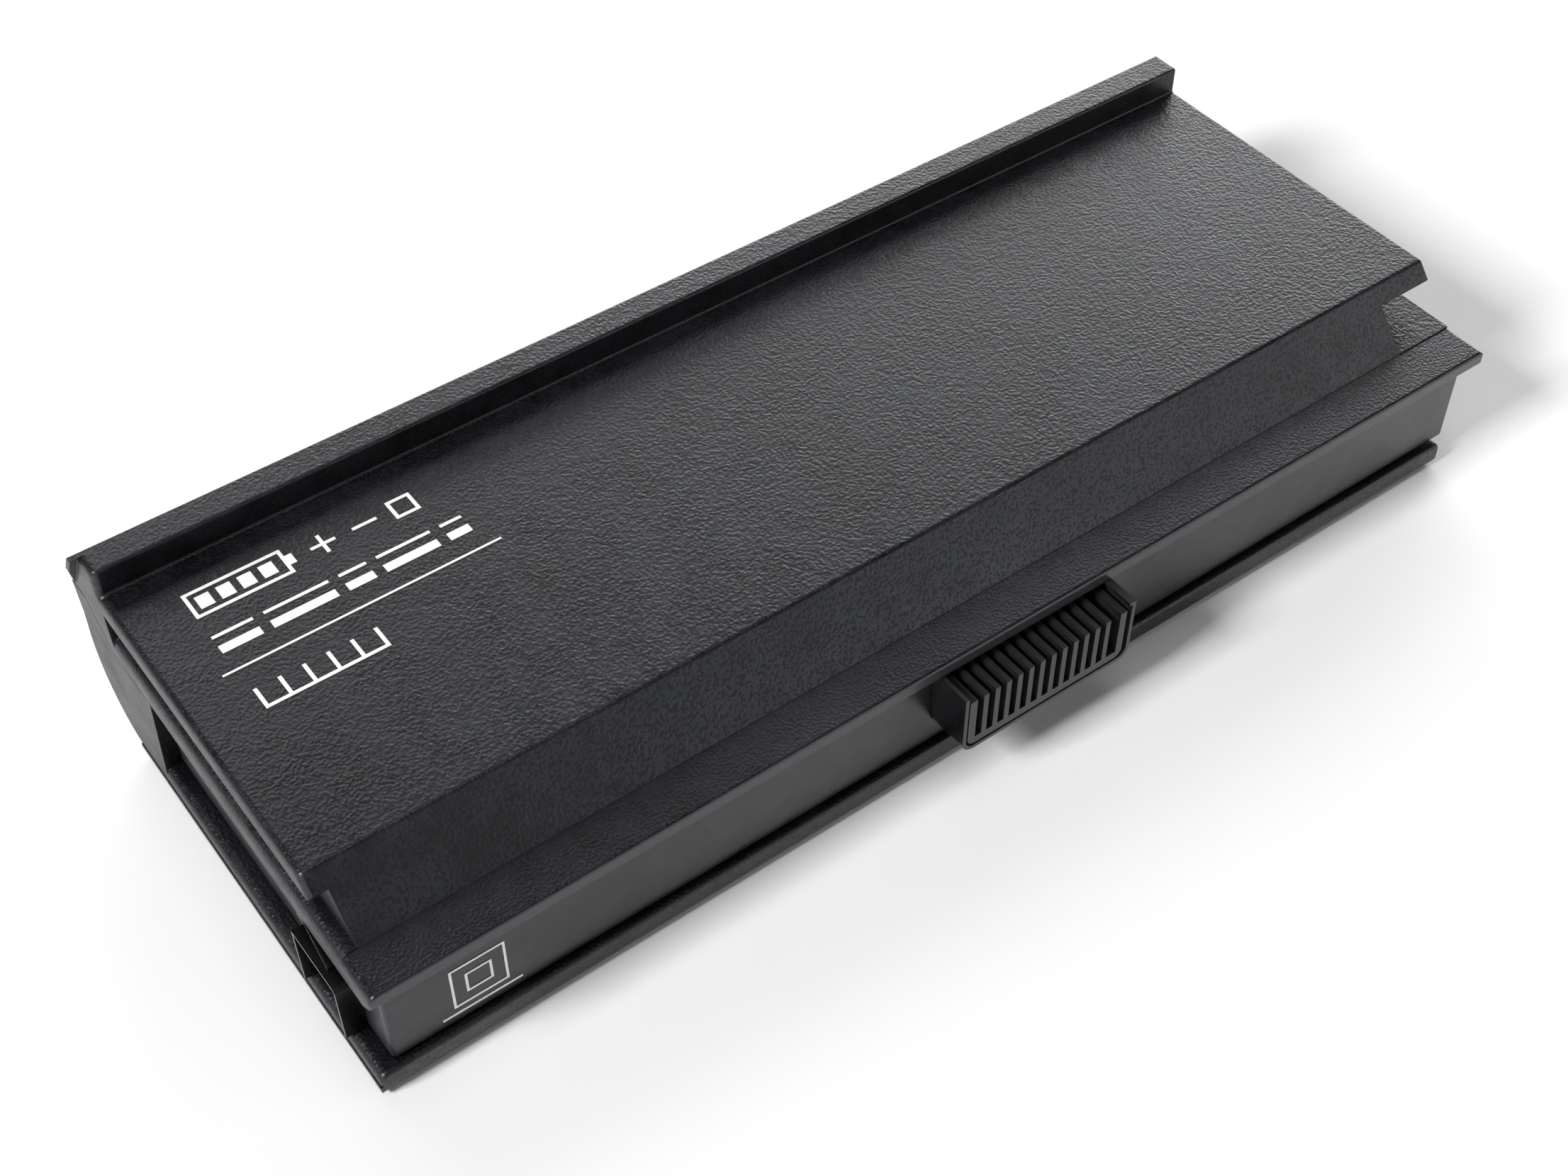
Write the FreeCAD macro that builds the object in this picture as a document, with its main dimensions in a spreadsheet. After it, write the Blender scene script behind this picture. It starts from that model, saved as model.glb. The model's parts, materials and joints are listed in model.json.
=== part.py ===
import math
import os
import re
import FreeCAD, Part
import Sketcher
from FreeCAD import Placement, Rotation, Vector

# Removable notebook-type battery pack, millimetres.
# X runs along the pack, Y to its barrel side, Z up. The origin is under the middle of the bounding box.

SIZES = {
    # pack outline
    "x_left": -74.5, "x_right": 75.5, "x_base_left": -75.1, "x_base_right": 72.95,
    "y_shroud": -33.7, "y_front": -29.75, "y_base_front": -29.35, "y_seam": -24.1, "y_foot": -24.04,
    "y_lip": -19.9, "y_plate_front": -18.2, "y_ridge_front": 24.6, "y_ridge_rear": 28.3,
    "y_rear": 33.2, "y_cap_corner": 33.7, "seam_gap": 0.01,
    # levels
    "z_base": 1.8, "z_base_top": 3.6, "z_floor": 3.05, "z_wall_foot": 4.05, "z_flange_bottom": 14.2,
    "z_edge_bottom": 15.6, "z_strip_top": 17.2, "z_flange_top": 17.35, "z_plate_bottom": 21.2,
    "z_lip": 21.8, "z_plate_top": 23.7, "z_ridge": 27.2, "z_cavity_top": 22.2,
    # upper shell
    "x_body_left": -72.45, "x_body_right": 67.35, "shell_wall": 1.5,
    "y_cavity_foot": -23.0, "z_cavity_foot": 15.7, "y_cavity_knee": -22.2, "y_cavity_slope": -17.4,
    "y_ridge_hollow": 26.0, "z_ridge_hollow": 25.8, "y_ridge_hollow_rear": 27.4, "y_rear_inner": 31.7,
    "z_rear_part": 19.2, "y_part_knee": 30.0, "z_part_knee": 19.0, "y_part_low": 25.4,
    "cavity_drop": 1.0, "plate_round": 0.7, "edge_round": 0.35,
    "plate_end_round": 0.9, "flange_end_round": 1.4, "ridge_foot_round": 0.3,
    "ear_reach": 0.9, "ear_width": 0.8, "z_ear_low": 24.2, "toe_run": 0.36, "toe_rise": 0.4,
    # front frame
    "y_wall": -28.4, "frame_wall": 1.5, "x_box_left": -73.05, "x_box_right": 74.05, "y_box_rear": 16.9,
    "y_strip_under": -28.0, "box_round": 0.6, "notch_side": 0.05, "strip_round": 0.4,
    "strip_end_round": 1.15,
    # lower shell
    "y_cap_front": 17.0, "barrel_y": 22.5, "barrel_z": 12.3, "barrel_r": 10.5, "barrel_inner_r": 9.25,
    "barrel_wall": 1.25, "y_base_rear": 24.0, "z_cap_top": 18.7, "cap_wall": 1.5, "part_gap": 0.1,
    "slab_round": 0.5, "slab_end_round": 1.0,
    "y_floor_rear": 15.9, "rib_thick": 1.1, "y_rib_end": -5.6,
    "rib_gap": 0.1, "z_rib_top": 6.2, "floor_margin": 2.2,
    "z_board_seat": 5.6, "post_r": 1.6, "post_x": 50.0, "post_y_front": -23.0, "post_y_rear": -10.5,
    # bottom skin
    "skin_thick": 1.7, "x_skin_left": -75.2, "x_skin_right": 72.85, "y_skin_front": -29.2,
    "y_skin_rear": 23.6, "skin_round": 1.2,
    # connector
    "x_shroud_left": -7.1, "x_shroud_right": 16.55, "z_shroud": 6.7, "z_shroud_left": 15.3,
    "z_shroud_right": 15.5, "shroud_wall": 0.47, "shroud_hook": 0.9, "hook_drop": 0.4, "y_shroud_rear": -27.2,
    "shroud_round": 1.7, "shroud_inner_round": 1.25,
    "x_comb_left": -6.35, "x_comb_right": 15.5, "z_comb": 7.35, "z_comb_top": 14.4, "y_comb": -33.6,
    "y_comb_rear": -26.0, "comb_round": 1.1, "slot_first": -5.36, "slot_pitch": 1.547, "slot_width": 0.87,
    "slot_last": 13.17, "slot_last_width": 1.42, "z_slot": 8.4, "y_slot_rear": -27.5,
    "slit_width": 0.36, "z_slit": 8.7, "slit_height": 1.9,
    "blade_thick": 0.3, "blade_height": 1.7, "y_blade": -30.4, "y_blade_rear": -24.0, "blade_foot": 0.4,
    "z_blade": 8.8, "z_tail": 4.9,
    # latch
    "x_keeper": -75.5, "y_keeper_front": -23.5, "y_keeper_rear": -14.9, "z_keeper": 11.75,
    "keeper_sheet": 0.3, "keeper_bevel": 0.5, "keeper_gap": 0.05,
    "x_finger_tip": -74.85, "y_finger_root": -15.0, "y_finger_tip": -21.0, "z_finger_tip": 11.95,
    "finger_thick": 0.32, "finger_width": 1.6, "finger_seat": 0.02,
    # cells
    "cell_r": 9.1, "cell_length": 64.0, "button_r": 3.0, "button_height": 1.0, "axis_clear": 0.001,
    "crimp_from_top": 3.0, "crimp_width": 1.2, "crimp_depth": 0.5,
    "rear_row_y": 22.5, "front_row_y": 4.0, "row_z": 12.3, "x_left_cells": -68.75, "x_right_cells": 63.65,
    "ring_r": 8.3, "ring_hole_r": 3.4, "ring_thick": 0.35,
    # strips and pads
    "strip_thick": 0.15, "strip_width": 6.0, "strip_y_front": -5.2, "strip_y_rear": 27.0, "strip_z": 9.3,
    "strip_tail": 4.0, "tail_width": 3.0, "bus_gap": 2.4, "bus_tab": 5.2, "bus_fold_z": 10.9,
    "bus_fold_height": 2.8, "bus_neck": 0.35, "tab_reach": 1.6,
    "pad_thick": 1.8, "pad_y_front": -4.6, "pad_y_rear": 30.6, "pad_z": 4.2, "pad_height": 16.6,
    "pad_gap": 0.05, "pad_round": 7.5,
    # board and parts on it
    "board_left": -58.0, "board_right": 60.0, "board_front": -25.6, "board_rear": -7.6, "board_thick": 1.0,
    "board_hole_r": 0.6, "board_slot_front": -24.9, "board_slot_rear": -23.6,
    "chip_x": 24.0, "chip_y": -16.5, "chip_side": 7.0, "chip_height": 1.2, "chip_lift": 0.1,
    "leg_width": 0.35, "leg_pitch": 0.9, "leg_reach": 1.0, "leg_thick": 0.2,
    "fet_x": 38.0, "fet_y": -16.0, "fet_length": 5.0, "fet_width": 4.0, "fet_height": 1.6, "fet_pitch": 8.0,
    "sense_x": 50.6, "sense_y": -18.0, "sense_length": 6.4, "sense_width": 3.2, "sense_height": 0.7,
    "cap_x": -8.0, "cap_y": -18.0, "cap_length": 1.6, "cap_width": 0.8, "cap_height": 0.8, "cap_pitch": 3.0,
    "fuse_x": -16.2, "fuse_length": 8.0, "fuse_thick": 0.9, "fuse_height": 3.0, "fuse_z": 10.8,
    "fuse_tab": 1.6, "fuse_tab_thick": 0.15,
    "bead_r": 1.1, "bead_length": 4.0, "bead_x": -36.0, "bead_y": -6.3, "bead_z": 12.3,
    # leads
    "lead_r": 0.6, "thin_lead_r": 0.35, "lead_bend": 2.0,
    "lead_y": -9.82, "lead_z": 12.3, "lead_foot_z": 6.62,
    "minus_left_end": -68.6, "minus_left_pad": -54.0, "minus_right_end": 63.4, "minus_right_pad": 56.5,
    "plus_end_y": -6.7, "plus_pad_y": -10.2, "plus_x": -17.2, "bead_lead_x": -38.1, "bead_pad_y": -9.6,
    # print
    "ink": 0.06, "ink_line": 0.42, "ink_thin": 0.28,
}

doc = FreeCAD.newDocument("battery_pack")
sheet = doc.addObject("Spreadsheet::Sheet", "Sizes")
for row, (alias, number) in enumerate(SIZES.items(), start=1):
    sheet.set("A%d" % row, alias)
    sheet.set("B%d" % row, str(number))
    sheet.setAlias("B%d" % row, alias)
doc.recompute()

TERM = re.compile(r"([+-]?)\s*([0-9.]+\*)?([a-z][a-z_]*|[0-9.]+)")
nodes = []


def value(text):
    """Number for a sum of sheet names and plain factors such as 'x_left+2*shell_wall'."""
    total = 0.0
    for sign, factor, name in TERM.findall(text):
        number = SIZES[name] if name in SIZES else float(name)
        if factor:
            number *= float(factor[:-1])
        total += -number if sign == "-" else number
    return total


def formula(text):
    """The same sum written as a sheet expression."""
    def swap(match):
        sign, factor, name = match.groups()
        shown = "Sizes." + name if name in SIZES else name
        return (sign or "") + (factor or "") + shown
    return TERM.sub(swap, text)


def bind(target, prop, text):
    target.setExpression(prop, formula(text))


def new_body(label):
    body = doc.addObject("PartDesign::Body", label)
    body.Label = label
    nodes.append(body)
    return body


def plane_of(body, role):
    return next(item for item in body.Origin.OriginFeatures if item.Role == role)


def new_sketch(body, name, role, offset):
    sketch = body.newObject("Sketcher::SketchObject", name)
    sketch.AttachmentSupport = [(plane_of(body, role), "")]
    sketch.MapMode = "FlatFace"
    if offset:
        sketch.AttachmentOffset = Placement(Vector(0, 0, value(offset)), Rotation())
        sketch.setExpression("AttachmentOffset.Base.z", formula(offset))
    return sketch


def hold(sketch, line, point, across, up):
    """Fix a point of the sketch at two sheet sizes from the sketch origin."""
    for kind, text in (("DistanceX", across), ("DistanceY", up)):
        number = sketch.addConstraint(Sketcher.Constraint(kind, -1, 1, line, point, value(text)))
        sketch.setExpression("Constraints[%d]" % number, formula(text))


def hold_radius(sketch, line, radius):
    number = sketch.addConstraint(Sketcher.Constraint("Radius", line, value(radius)))
    sketch.setExpression("Constraints[%d]" % number, formula(radius))


def outline(body, name, role, offset, points):
    """Closed polygon on an origin plane, every corner held by sheet sizes."""
    sketch = new_sketch(body, name, role, offset)
    corners = [Vector(value(across), value(up), 0) for across, up in points]
    count = len(corners)
    for index in range(count):
        sketch.addGeometry(Part.LineSegment(corners[index], corners[(index + 1) % count]), False)
    for index in range(count):
        sketch.addConstraint(Sketcher.Constraint("Coincident", index, 2, (index + 1) % count, 1))
    for index, (across, up) in enumerate(points):
        hold(sketch, index, 1, across, up)
    return sketch


def circles(body, name, role, offset, rounds):
    """Circles on an origin plane given as centre across, centre up, radius."""
    sketch = new_sketch(body, name, role, offset)
    for index, (across, up, radius) in enumerate(rounds):
        centre = Vector(value(across), value(up), 0)
        sketch.addGeometry(Part.Circle(centre, Vector(0, 0, 1), value(radius)), False)
        hold(sketch, index, 3, across, up)
        hold_radius(sketch, index, radius)
    return sketch


def set_place(target, corner, rotation=None):
    """Bind the placement's base to three sheet sums."""
    target.Placement = Placement(Vector(*[value(text) for text in corner]), rotation or Rotation())
    for axis, text in zip("xyz", corner):
        target.setExpression("Placement.Base." + axis, formula(text))


def set_sizes(target, **sizes):
    for prop, text in sizes.items():
        setattr(target, prop, value(text))
        bind(target, prop, text)


def pad(body, sketch, length, backwards=False):
    feature = body.newObject("PartDesign::Pad", sketch.Name + "_pad")
    feature.Profile = sketch
    feature.Reversed = backwards
    set_sizes(feature, Length=length)
    sketch.Visibility = False
    doc.recompute()
    return feature


def cut(body, sketch, length, backwards=False):
    before = body.Shape.Volume
    feature = body.newObject("PartDesign::Pocket", sketch.Name + "_cut")
    feature.Profile = sketch
    feature.Reversed = backwards
    set_sizes(feature, Length=length)
    sketch.Visibility = False
    doc.recompute()
    if body.Shape.Volume > before - 1e-6:
        raise RuntimeError("%s removed nothing" % feature.Name)
    return feature


def repeat(body, feature, axis_role, count, pitch):
    pattern = body.newObject("PartDesign::LinearPattern", feature.Name + "_row")
    pattern.Originals = [feature]
    pattern.Direction = (plane_of(body, axis_role), [""])
    pattern.Occurrences = count
    pattern.Length = value(pitch) * (count - 1)
    pattern.setExpression("Length", "%s * %d" % (formula(pitch), count - 1))
    body.Tip = pattern
    doc.recompute()
    return pattern


def edges_at(body, test):
    found = []
    for index, edge in enumerate(body.Shape.Edges, start=1):
        if len(edge.Vertexes) == 2 and test(edge.Vertexes[0].Point, edge.Vertexes[1].Point):
            found.append("Edge%d" % index)
    return found


def near(first, second):
    return abs(first - second) < 0.02


def along(direction, **fixed):
    """Test for edges that run along one axis with the other coordinates given."""
    wanted = {name: value(text) for name, text in fixed.items()}

    def test(start, end):
        span = end - start
        if abs(getattr(span, direction)) < 0.98 * span.Length:
            return False
        return all(near(getattr(start, name), number) and near(getattr(end, name), number)
                   for name, number in wanted.items())
    return test


def soften(body, size, *tests):
    """Round the edges that any of the tests picks."""
    names = []
    for test in tests:
        names += [name for name in edges_at(body, test) if name not in names]
    if not names:
        raise RuntimeError("%s: no edge to round" % body.Label)
    feature = body.newObject("PartDesign::Fillet", "%s_round_%d" % (body.Name, len(body.Group)))
    feature.Base = (body.Tip if body.Tip is not feature else feature.BaseFeature, names)
    set_sizes(feature, Radius=size)
    doc.recompute()
    if not feature.Shape.isValid() or "Invalid" in feature.State:
        raise RuntimeError("%s: rounding failed" % body.Label)
    return feature


def box(label, corner, size, keep=True):
    solid = doc.addObject("Part::Box", label)
    solid.Label = label
    set_sizes(solid, Length=size[0], Width=size[1], Height=size[2])
    set_place(solid, corner)
    if keep:
        nodes.append(solid)
    return solid


def rod(label, start, radius, length):
    """Cylinder along X from its first end."""
    solid = doc.addObject("Part::Cylinder", label)
    solid.Label = label
    set_sizes(solid, Radius=radius, Height=length)
    set_place(solid, start, Rotation(Vector(0, 1, 0), 90))
    return solid


def joined(label, pieces):
    group = doc.addObject("Part::MultiFuse", label)
    group.Label = label
    group.Shapes = pieces
    nodes.append(group)


def gathered(label, pieces):
    """Pieces that stand apart from each other, kept as one sub-part."""
    group = doc.addObject("Part::Compound", label)
    group.Label = label
    group.Links = pieces
    nodes.append(group)


def upper_shell():
    """Top plate with ridge, sloping front, rear part of the flange, end walls; open below."""
    body = new_body("upper_shell")
    length = "x_right-x_left"
    plate = outline(body, "plate_profile", "YZ_Plane", "x_left", [
        ("y_lip", "z_lip"), ("y_lip+0.4", "z_plate_bottom"), ("y_ridge_front", "z_plate_bottom"),
        ("y_ridge_front", "z_flange_bottom"), ("y_part_low", "z_flange_bottom"),
        ("y_part_knee", "z_part_knee"), ("y_rear", "z_rear_part"), ("y_ridge_rear", "z_ridge"),
        ("y_ridge_front", "z_ridge"), ("y_ridge_front", "z_plate_top"), ("y_plate_front", "z_plate_top")])
    pad(body, plate, length)
    flange = outline(body, "flange_profile", "YZ_Plane", "x_left", [
        ("y_seam", "z_flange_bottom"), ("y_part_low", "z_flange_bottom"),
        ("y_part_low", "z_flange_top"), ("y_seam", "z_flange_top")])
    pad(body, flange, length)
    front = outline(body, "slope_profile", "YZ_Plane", "x_body_left", [
        ("y_foot", "z_strip_top"), ("y_ridge_front+0.5", "z_strip_top"), ("y_ridge_front+0.5", "z_lip"),
        ("y_lip", "z_lip")])
    pad(body, front, "x_body_right-x_body_left")
    toe = outline(body, "toe_profile", "YZ_Plane", "x_body_left", [
        ("y_foot", "z_strip_top"), ("y_foot+toe_run", "z_strip_top+toe_rise"),
        ("y_seam-0.2", "z_strip_top+toe_rise"), ("y_seam-0.2", "z_strip_top")])
    cut(body, toe, "x_body_right-x_body_left", backwards=True)
    ear = outline(body, "ear_profile", "YZ_Plane", "x_left", [
        ("y_ridge_rear-ear_width", "z_ridge"), ("y_rear-ear_width", "z_rear_part"),
        ("y_rear", "z_rear_part"), ("y_ridge_rear", "z_ridge")])
    pad(body, ear, "ear_reach", backwards=True)
    taper = outline(body, "ear_taper", "XZ_Plane", "-y_rear-1", [
        ("x_left-ear_reach-1", "z_ear_low"), ("x_left-ear_reach", "z_ear_low"), ("x_left", "z_rear_part"),
        ("x_left", "z_rear_part-1"), ("x_left-ear_reach-1", "z_rear_part-1")])
    cut(body, taper, "y_rear+1-y_ridge_front", backwards=True)
    hollow = outline(body, "hollow_profile", "YZ_Plane", "x_body_left+shell_wall", [
        ("y_cavity_foot", "z_flange_bottom-cavity_drop"), ("y_cavity_foot", "z_cavity_foot"),
        ("y_cavity_knee", "z_cavity_foot"), ("y_cavity_slope", "z_cavity_top"),
        ("y_ridge_hollow", "z_cavity_top"), ("y_ridge_hollow", "z_ridge_hollow"),
        ("y_ridge_hollow_rear", "z_ridge_hollow"), ("y_rear_inner", "z_rear_part"),
        ("y_rear_inner", "z_flange_bottom-cavity_drop")])
    cut(body, hollow, "x_body_right-x_body_left-2*shell_wall", backwards=True)
    soften(body, "ridge_foot_round", along("x", y="y_ridge_front", z="z_plate_top"))
    soften(body, "plate_round", along("x", y="y_plate_front", z="z_plate_top"))
    soften(body, "edge_round",
           along("x", y="y_ridge_front", z="z_ridge"), along("x", y="y_ridge_rear", z="z_ridge"),
           along("y", x="x_right", z="z_plate_top"), along("y", x="x_right", z="z_ridge"))
    soften(body, "plate_end_round", along("y", x="x_left", z="z_plate_top"))
    soften(body, "flange_end_round", along("y", x="x_left", z="z_flange_top"))


def front_frame():
    """Front strip of the flange over a smooth box with side walls and a connector window."""
    body = new_body("front_frame")
    walls = outline(body, "wall_plan", "XY_Plane", "z_wall_foot", [
        ("x_box_left", "y_wall"), ("x_box_right", "y_wall"), ("x_box_right", "y_box_rear"),
        ("x_box_right-frame_wall", "y_box_rear"), ("x_box_right-frame_wall", "y_wall+frame_wall"),
        ("x_box_left+frame_wall", "y_wall+frame_wall"), ("x_box_left+frame_wall", "y_box_rear"),
        ("x_box_left", "y_box_rear")])
    pad(body, walls, "z_flange_bottom-z_wall_foot-seam_gap")
    soften(body, "box_round",
           along("z", x="x_box_left", y="y_wall"), along("z", x="x_box_right", y="y_wall"))
    strip = outline(body, "strip_profile", "YZ_Plane", "x_left", [
        ("y_front", "z_edge_bottom"), ("y_strip_under", "z_flange_bottom-2*seam_gap"),
        ("y_seam-seam_gap", "z_flange_bottom-2*seam_gap"), ("y_seam-seam_gap", "z_strip_top"),
        ("y_front", "z_strip_top")])
    pad(body, strip, "x_right-x_left")
    window = outline(body, "window_plan", "XZ_Plane", "-y_comb_rear-0.1", [
        ("x_shroud_left-notch_side", "z_shroud-notch_side"),
        ("x_shroud_right+notch_side", "z_shroud-notch_side"),
        ("x_shroud_right+notch_side", "z_edge_bottom"), ("x_shroud_left-notch_side", "z_edge_bottom")])
    cut(body, window, "y_comb_rear-y_front+1", backwards=True)
    soften(body, "shroud_round",
           along("y", x="x_shroud_left-notch_side", z="z_shroud-notch_side"),
           along("y", x="x_shroud_right+notch_side", z="z_shroud-notch_side"))
    soften(body, "strip_end_round", along("y", x="x_left", z="z_strip_top"))
    soften(body, "strip_round",
           along("x", y="y_front", z="z_strip_top"), along("y", x="x_right", z="z_strip_top"))


def lower_shell():
    """Base slab, rear barrel and D-shaped end panels, with a locating rib and board posts inside."""
    body = new_body("lower_shell")
    slab = outline(body, "slab_plan", "XY_Plane", "z_base", [
        ("x_base_left", "y_base_front"), ("x_base_right", "y_base_front"),
        ("x_base_right", "y_base_rear"), ("x_base_left", "y_base_rear")])
    pad(body, slab, "z_base_top-z_base")
    soften(body, "slab_end_round",
           along("y", x="x_base_left", z="z_base_top"), along("y", x="x_base_right", z="z_base_top"))
    soften(body, "slab_round", along("x", y="y_base_front", z="z_base_top"))
    barrel = outline(body, "barrel_profile", "YZ_Plane", "x_base_left", [
        ("y_cap_front", "z_base"), ("barrel_y+barrel_r", "z_base"), ("barrel_y+barrel_r", "barrel_z+0.1"),
        ("y_cap_corner", "z_cap_top"), ("y_part_knee+part_gap", "z_part_knee-0.2"),
        ("y_part_low+part_gap", "z_flange_bottom-part_gap"), ("y_cap_front", "z_flange_bottom-part_gap")])
    pad(body, barrel, "x_right-x_base_left")
    soften(body, "barrel_r", along("x", y="barrel_y+barrel_r", z="z_base"))
    draft = outline(body, "draft_profile", "XZ_Plane", "-y_cap_corner-1", [
        ("x_base_left-1", "z_cap_top+1"), ("x_left", "z_cap_top+1"), ("x_left", "z_flange_bottom"),
        ("x_base_left", "z_base"), ("x_base_left-1", "z_base")])
    cut(body, draft, "y_cap_corner+1-y_base_front+1", backwards=True)
    length = "x_right-x_left-2*cap_wall"
    bore = circles(body, "barrel_bore", "YZ_Plane", "x_left+cap_wall", [
        ("barrel_y", "barrel_z", "barrel_inner_r")])
    cut(body, bore, length, backwards=True)
    above = outline(body, "barrel_throat", "YZ_Plane", "x_left+cap_wall", [
        ("barrel_y", "barrel_z"), ("barrel_y+barrel_inner_r", "barrel_z"),
        ("y_cap_corner-barrel_wall", "z_cap_top+1"), ("barrel_y", "z_cap_top+1")])
    cut(body, above, length, backwards=True)
    ahead = outline(body, "barrel_mouth", "YZ_Plane", "x_left+cap_wall", [
        ("y_floor_rear", "z_floor"), ("barrel_y", "z_floor"), ("barrel_y", "z_cap_top+1"),
        ("y_floor_rear", "z_cap_top+1")])
    cut(body, ahead, length, backwards=True)
    floor = outline(body, "floor_plan", "XY_Plane", "z_floor", [
        ("x_box_left+frame_wall+floor_margin", "y_wall+frame_wall+floor_margin"),
        ("x_box_right-frame_wall-floor_margin", "y_wall+frame_wall+floor_margin"),
        ("x_box_right-frame_wall-floor_margin", "y_floor_rear+0.1"),
        ("x_box_left+frame_wall+floor_margin", "y_floor_rear+0.1")])
    cut(body, floor, "z_base_top-z_floor+1", backwards=True)
    rib = outline(body, "rib_plan", "XY_Plane", "z_base_top", [
        ("x_box_left+frame_wall+rib_gap", "y_rib_end"),
        ("x_box_left+frame_wall+rib_gap", "y_wall+frame_wall+rib_gap"),
        ("x_box_right-frame_wall-rib_gap", "y_wall+frame_wall+rib_gap"),
        ("x_box_right-frame_wall-rib_gap", "y_rib_end"),
        ("x_box_right-frame_wall-rib_gap-rib_thick", "y_rib_end"),
        ("x_box_right-frame_wall-rib_gap-rib_thick", "y_wall+frame_wall+rib_gap+rib_thick"),
        ("x_box_left+frame_wall+rib_gap+rib_thick", "y_wall+frame_wall+rib_gap+rib_thick"),
        ("x_box_left+frame_wall+rib_gap+rib_thick", "y_rib_end")])
    pad(body, rib, "z_rib_top-z_base_top")
    posts = circles(body, "post_plan", "XY_Plane", "z_floor", [
        (side + "post_x", depth, "post_r") for side in ("", "-")
        for depth in ("post_y_front", "post_y_rear")])
    pad(body, posts, "z_board_seat-z_floor")


def bottom_skin():
    """Flat plate under the pack with rounded lower edges."""
    body = new_body("bottom_skin")
    plan = outline(body, "skin_plan", "XY_Plane", "", [
        ("x_skin_left", "y_skin_front"), ("x_skin_right", "y_skin_front"),
        ("x_skin_right", "y_skin_rear"), ("x_skin_left", "y_skin_rear")])
    pad(body, plan, "skin_thick")
    soften(body, "skin_round", lambda start, end: near(start.z, 0) and near(end.z, 0))


def connector_shroud():
    """Thin U around the comb; its right wall ends in a small inward hook."""
    body = new_body("connector_shroud")
    profile = outline(body, "shroud_profile", "XZ_Plane", "-y_shroud", [
        ("x_shroud_left", "z_shroud_left"), ("x_shroud_left", "z_shroud"), ("x_shroud_right", "z_shroud"),
        ("x_shroud_right", "z_shroud_right"), ("x_shroud_right-shroud_hook", "z_shroud_right"),
        ("x_shroud_right-shroud_hook", "z_shroud_right-hook_drop"),
        ("x_shroud_right-shroud_wall", "z_shroud_right-hook_drop"),
        ("x_shroud_right-shroud_wall", "z_shroud+shroud_wall"),
        ("x_shroud_left+shroud_wall", "z_shroud+shroud_wall"),
        ("x_shroud_left+shroud_wall", "z_shroud_left")])
    pad(body, profile, "y_shroud_rear-y_shroud", backwards=True)
    soften(body, "shroud_inner_round",
           along("y", x="x_shroud_left+shroud_wall", z="z_shroud+shroud_wall"),
           along("y", x="x_shroud_right-shroud_wall", z="z_shroud+shroud_wall"))
    soften(body, "shroud_round",
           along("y", x="x_shroud_left", z="z_shroud"), along("y", x="x_shroud_right", z="z_shroud"))


def connector_comb():
    """Insert with fourteen teeth; every slot has a slit in its rear wall for a contact."""
    body = new_body("connector_comb")
    block = outline(body, "comb_profile", "XZ_Plane", "-y_comb", [
        ("x_comb_left", "z_comb"), ("x_comb_right", "z_comb"),
        ("x_comb_right", "z_comb_top"), ("x_comb_left", "z_comb_top")])
    pad(body, block, "y_comb_rear-y_comb", backwards=True)
    soften(body, "comb_round",
           along("y", x="x_comb_left", z="z_comb"), along("y", x="x_comb_right", z="z_comb"))
    last = outline(body, "last_slot", "XZ_Plane", "-y_slot_rear", [
        ("slot_last", "z_slot"), ("slot_last+slot_last_width", "z_slot"),
        ("slot_last+slot_last_width", "z_comb_top+1"), ("slot_last", "z_comb_top+1")])
    slot_cut(body, last)
    slot = outline(body, "first_slot", "XZ_Plane", "-y_slot_rear", [
        ("slot_first", "z_slot"), ("slot_first+slot_width", "z_slot"),
        ("slot_first+slot_width", "z_comb_top+1"), ("slot_first", "z_comb_top+1")])
    repeat(body, slot_cut(body, slot), "X_Axis", 12, "slot_pitch")
    slit = outline(body, "first_slit", "XZ_Plane", "-y_comb_rear-1", [
        ("slot_first+0.5*slot_width-0.5*slit_width", "z_slit"),
        ("slot_first+0.5*slot_width+0.5*slit_width", "z_slit"),
        ("slot_first+0.5*slot_width+0.5*slit_width", "z_slit+slit_height"),
        ("slot_first+0.5*slot_width-0.5*slit_width", "z_slit+slit_height")])
    repeat(body, cut(body, slit, "y_comb_rear-y_slot_rear+2", backwards=True), "X_Axis", 12, "slot_pitch")


def slot_cut(body, sketch):
    return cut(body, sketch, "y_slot_rear-y_comb+1", backwards=True)


def contact_blades():
    """Twelve flat contacts, each with a tail down through the board."""
    pieces = []
    for index in range(12):
        left = "slot_first+0.5*slot_width-0.5*blade_thick+%d*slot_pitch" % index
        pieces.append(box("blade_%d" % index, (left, "y_blade", "z_blade"),
                          ("blade_thick", "y_blade_rear-y_blade", "blade_height"), keep=False))
        pieces.append(box("tail_%d" % index, (left, "y_blade_rear-blade_foot", "z_tail"),
                          ("blade_thick", "blade_foot", "z_blade-z_tail+0.2"), keep=False))
    joined("contact_blades", pieces)


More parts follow.
